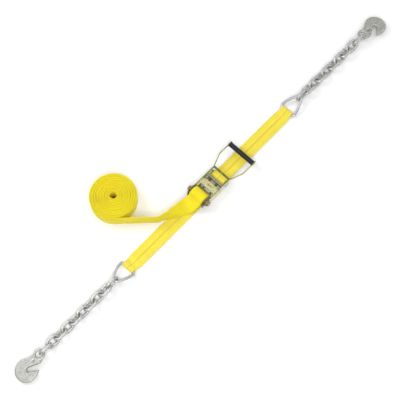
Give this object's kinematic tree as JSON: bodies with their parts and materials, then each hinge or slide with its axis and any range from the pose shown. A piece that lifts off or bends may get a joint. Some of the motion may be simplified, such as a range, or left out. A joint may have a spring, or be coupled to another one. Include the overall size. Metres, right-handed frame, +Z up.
{
  "type": "ratchet tie-down strap",
  "caption": "Webbing tie-down strap with a long-handled ratchet, a chain with a grab hook at each end on a triangle ring, and its free end rolled up.",
  "frame": {"origin": "middle of the underside of the ratchet frame's floor, on the surface that the strap lies on", "axes": "+X along the strap from the ratchet towards the fixed end, which the handle points to when it is closed; +Z up, away from the surface"},
  "size_m": [1.6648, 0.3142, 0.052],
  "materials": {
    "webbing": "woven polyester, matt",
    "yellow_zinc": "yellow zinc plated, slightly iridescent, satin",
    "wheel_zinc": "yellow zinc plated, darker, satin",
    "chain_steel": "zinc plated forged steel, satin",
    "bright_zinc": "bright zinc plated, glossy",
    "spring_steel": "dark oiled spring wire",
    "grip_vinyl": "moulded vinyl, satin"
  },
  "bodies": {
    "ratchet_frame": {"base_frame": "yellow_zinc", "strap_bolt": "bright_zinc", "strap_bolt_nut": "bright_zinc", "bolt_sleeve": "yellow_zinc", "base_pawl_spring_left": "spring_steel", "base_pawl_spring_right": "spring_steel"},
    "handle": {"handle_frame": "yellow_zinc", "handle_rod": "yellow_zinc", "handle_grip": "grip_vinyl", "drive_pawl_spring_left": "spring_steel", "drive_pawl_spring_right": "spring_steel"},
    "mandrel": {"mandrel_upper_half": "yellow_zinc", "mandrel_lower_half": "yellow_zinc", "wound_webbing": "webbing", "ratchet_wheel_left": "wheel_zinc", "ratchet_wheel_right": "wheel_zinc", "mandrel_washer_left": "yellow_zinc", "mandrel_washer_right": "yellow_zinc", "cotter_pin_left": "bright_zinc", "cotter_pin_right": "bright_zinc"},
    "drive_pawl": {"drive_pawl": "bright_zinc"},
    "base_pawl": {"base_pawl": "yellow_zinc"},
    "fixed_strap": {"fixed_strap": "webbing"},
    "anchor_strap": {"anchor_strap": "webbing"},
    "tail": {"tail_webbing": "webbing", "webbing_roll": "webbing"},
    "fixed_ring": {"fixed_ring": "bright_zinc"},
    "fixed_link_01": {"fixed_link_01": "chain_steel"},
    "fixed_link_02": {"fixed_link_02": "chain_steel"},
    "fixed_link_03": {"fixed_link_03": "chain_steel"},
    "fixed_link_04": {"fixed_link_04": "chain_steel"},
    "fixed_link_05": {"fixed_link_05": "chain_steel"},
    "fixed_link_06": {"fixed_link_06": "chain_steel"},
    "fixed_link_07": {"fixed_link_07": "chain_steel"},
    "fixed_link_08": {"fixed_link_08": "chain_steel"},
    "fixed_link_09": {"fixed_link_09": "chain_steel"},
    "fixed_link_10": {"fixed_link_10": "chain_steel"},
    "fixed_hook": {"fixed_hook": "chain_steel"},
    "anchor_ring": {"anchor_ring": "bright_zinc"},
    "anchor_link_01": {"anchor_link_01": "chain_steel"},
    "anchor_link_02": {"anchor_link_02": "chain_steel"},
    "anchor_link_03": {"anchor_link_03": "chain_steel"},
    "anchor_link_04": {"anchor_link_04": "chain_steel"},
    "anchor_link_05": {"anchor_link_05": "chain_steel"},
    "anchor_link_06": {"anchor_link_06": "chain_steel"},
    "anchor_link_07": {"anchor_link_07": "chain_steel"},
    "anchor_link_08": {"anchor_link_08": "chain_steel"},
    "anchor_link_09": {"anchor_link_09": "chain_steel"},
    "anchor_link_10": {"anchor_link_10": "chain_steel"},
    "anchor_hook": {"anchor_hook": "chain_steel"}
  },
  "joints": [
    {"name": "handle_fold", "type": "hinge", "parent": "ratchet_frame", "child": "handle", "pos_m": [-0.053, 0, 0.027], "axis": [0, -1, 0], "range_deg": [0, 160]},
    {"name": "mandrel_turn", "type": "hinge", "parent": "ratchet_frame", "child": "mandrel", "pos_m": [-0.053, 0, 0.027], "axis": [0, 1, 0], "continuous": true},
    {"name": "drive_pawl_slide", "type": "slide", "parent": "handle", "child": "drive_pawl", "axis": [0.9903, 0, -0.1392], "range_m": [0, 0.005], "stiffness_N_per_m": 300, "springref_m": -0.008, "deforming": ["drive_pawl_spring_left", "drive_pawl_spring_right"]},
    {"name": "base_pawl_slide", "type": "slide", "parent": "ratchet_frame", "child": "base_pawl", "axis": [0.8746, 0, -0.4848], "range_m": [0, 0.004], "stiffness_N_per_m": 300, "springref_m": -0.008, "deforming": ["base_pawl_spring_left", "base_pawl_spring_right"]},
    {"name": "fixed_strap_swing", "type": "hinge", "parent": "ratchet_frame", "child": "fixed_strap", "pos_m": [0.039, 0, 0.01], "axis": [0, -1, 0], "range_deg": [-75, 5]},
    {"name": "anchor_strap_swing", "type": "hinge", "parent": "ratchet_frame", "child": "anchor_strap", "pos_m": [-0.053, 0, 0.027], "axis": [0, -1, 0], "range_deg": [0, 60]},
    {"name": "tail_lift", "type": "hinge", "parent": "ratchet_frame", "child": "tail", "pos_m": [-0.053, 0, 0.027], "axis": [0, -1, 0], "range_deg": [-60, 0]},
    {"name": "fixed_ring_swing", "type": "hinge", "parent": "fixed_strap", "child": "fixed_ring", "pos_m": [0.362, 0, 0.0072], "axis": [0, -1, 0], "range_deg": [-60, 60]},
    {"name": "fixed_link_01_swing", "type": "hinge", "parent": "fixed_ring", "child": "fixed_link_01", "pos_m": [0.42291, 0, 0.0188], "axis": [-0.0063, 0.9925, -0.1217], "range_deg": [-50, 50]},
    {"name": "fixed_link_02_swing", "type": "hinge", "parent": "fixed_link_01", "child": "fixed_link_02", "pos_m": [0.45386, 0, 0.0172], "axis": [0.0493, 0.4384, 0.8974], "range_deg": [-50, 50]},
    {"name": "fixed_link_03_swing", "type": "hinge", "parent": "fixed_link_02", "child": "fixed_link_03", "pos_m": [0.48482, 0, 0.0155], "axis": [0.0269, -0.7193, 0.6941], "range_deg": [-50, 50]},
    {"name": "fixed_link_04_swing", "type": "hinge", "parent": "fixed_link_03", "child": "fixed_link_04", "pos_m": [0.51579, 0, 0.0143], "axis": [-0.0171, -0.4695, -0.8828], "range_deg": [-50, 50]},
    {"name": "fixed_link_05_swing", "type": "hinge", "parent": "fixed_link_04", "child": "fixed_link_05", "pos_m": [0.54679, 0, 0.0137], "axis": [-0.0046, 0.6947, -0.7193], "range_deg": [-50, 50]},
    {"name": "fixed_link_06_swing", "type": "hinge", "parent": "fixed_link_05", "child": "fixed_link_06", "pos_m": [0.57779, 0, 0.0135], "axis": [0, 0.5, 0.866], "range_deg": [-50, 50]},
    {"name": "fixed_link_07_swing", "type": "hinge", "parent": "fixed_link_06", "child": "fixed_link_07", "pos_m": [0.60879, 0, 0.0135], "axis": [-0.0048, -0.6691, 0.7431], "range_deg": [-50, 50]},
    {"name": "fixed_link_08_swing", "type": "hinge", "parent": "fixed_link_07", "child": "fixed_link_08", "pos_m": [0.63979, 0, 0.0137], "axis": [0.0348, -0.5592, -0.8283], "range_deg": [-50, 50]},
    {"name": "fixed_link_09_swing", "type": "hinge", "parent": "fixed_link_08", "child": "fixed_link_09", "pos_m": [0.67076, 0, 0.015], "axis": [0.061, 0.6157, -0.7856], "range_deg": [-50, 50]},
    {"name": "fixed_link_10_swing", "type": "hinge", "parent": "fixed_link_09", "child": "fixed_link_10", "pos_m": [0.70167, 0, 0.0174], "axis": [-0.0252, 0.9455, 0.3246], "range_deg": [-50, 50]},
    {"name": "fixed_hook_swing", "type": "hinge", "parent": "fixed_link_10", "child": "fixed_hook", "pos_m": [0.73257, 0, 0.0198], "axis": [0.1201, 0, 0.9928], "range_deg": [-50, 50]},
    {"name": "anchor_ring_swing", "type": "hinge", "parent": "anchor_strap", "child": "anchor_ring", "pos_m": [-0.366, 0, 0.0072], "axis": [0, 1, 0], "range_deg": [-60, 60]},
    {"name": "anchor_link_01_swing", "type": "hinge", "parent": "anchor_ring", "child": "anchor_link_01", "pos_m": [-0.42691, 0, 0.0188], "axis": [0.0063, 0.9925, -0.1217], "range_deg": [-50, 50]},
    {"name": "anchor_link_02_swing", "type": "hinge", "parent": "anchor_link_01", "child": "anchor_link_02", "pos_m": [-0.45786, 0, 0.0172], "axis": [-0.0493, 0.4384, 0.8974], "range_deg": [-50, 50]},
    {"name": "anchor_link_03_swing", "type": "hinge", "parent": "anchor_link_02", "child": "anchor_link_03", "pos_m": [-0.48882, 0, 0.0155], "axis": [-0.0269, -0.7193, 0.6941], "range_deg": [-50, 50]},
    {"name": "anchor_link_04_swing", "type": "hinge", "parent": "anchor_link_03", "child": "anchor_link_04", "pos_m": [-0.51979, 0, 0.0143], "axis": [0.0171, -0.4695, -0.8828], "range_deg": [-50, 50]},
    {"name": "anchor_link_05_swing", "type": "hinge", "parent": "anchor_link_04", "child": "anchor_link_05", "pos_m": [-0.55079, 0, 0.0137], "axis": [0.0046, 0.6947, -0.7193], "range_deg": [-50, 50]},
    {"name": "anchor_link_06_swing", "type": "hinge", "parent": "anchor_link_05", "child": "anchor_link_06", "pos_m": [-0.58179, 0, 0.0135], "axis": [0, 0.5, 0.866], "range_deg": [-50, 50]},
    {"name": "anchor_link_07_swing", "type": "hinge", "parent": "anchor_link_06", "child": "anchor_link_07", "pos_m": [-0.61279, 0, 0.0135], "axis": [0.0048, -0.6691, 0.7431], "range_deg": [-50, 50]},
    {"name": "anchor_link_08_swing", "type": "hinge", "parent": "anchor_link_07", "child": "anchor_link_08", "pos_m": [-0.64379, 0, 0.0137], "axis": [-0.0348, -0.5592, -0.8283], "range_deg": [-50, 50]},
    {"name": "anchor_link_09_swing", "type": "hinge", "parent": "anchor_link_08", "child": "anchor_link_09", "pos_m": [-0.67476, 0, 0.015], "axis": [-0.061, 0.6157, -0.7856], "range_deg": [-50, 50]},
    {"name": "anchor_link_10_swing", "type": "hinge", "parent": "anchor_link_09", "child": "anchor_link_10", "pos_m": [-0.70567, 0, 0.0174], "axis": [0.0252, 0.9455, 0.3246], "range_deg": [-50, 50]},
    {"name": "anchor_hook_swing", "type": "hinge", "parent": "anchor_link_10", "child": "anchor_hook", "pos_m": [-0.73657, 0, 0.0198], "axis": [-0.1201, 0, 0.9928], "range_deg": [-50, 50]}
  ]
}
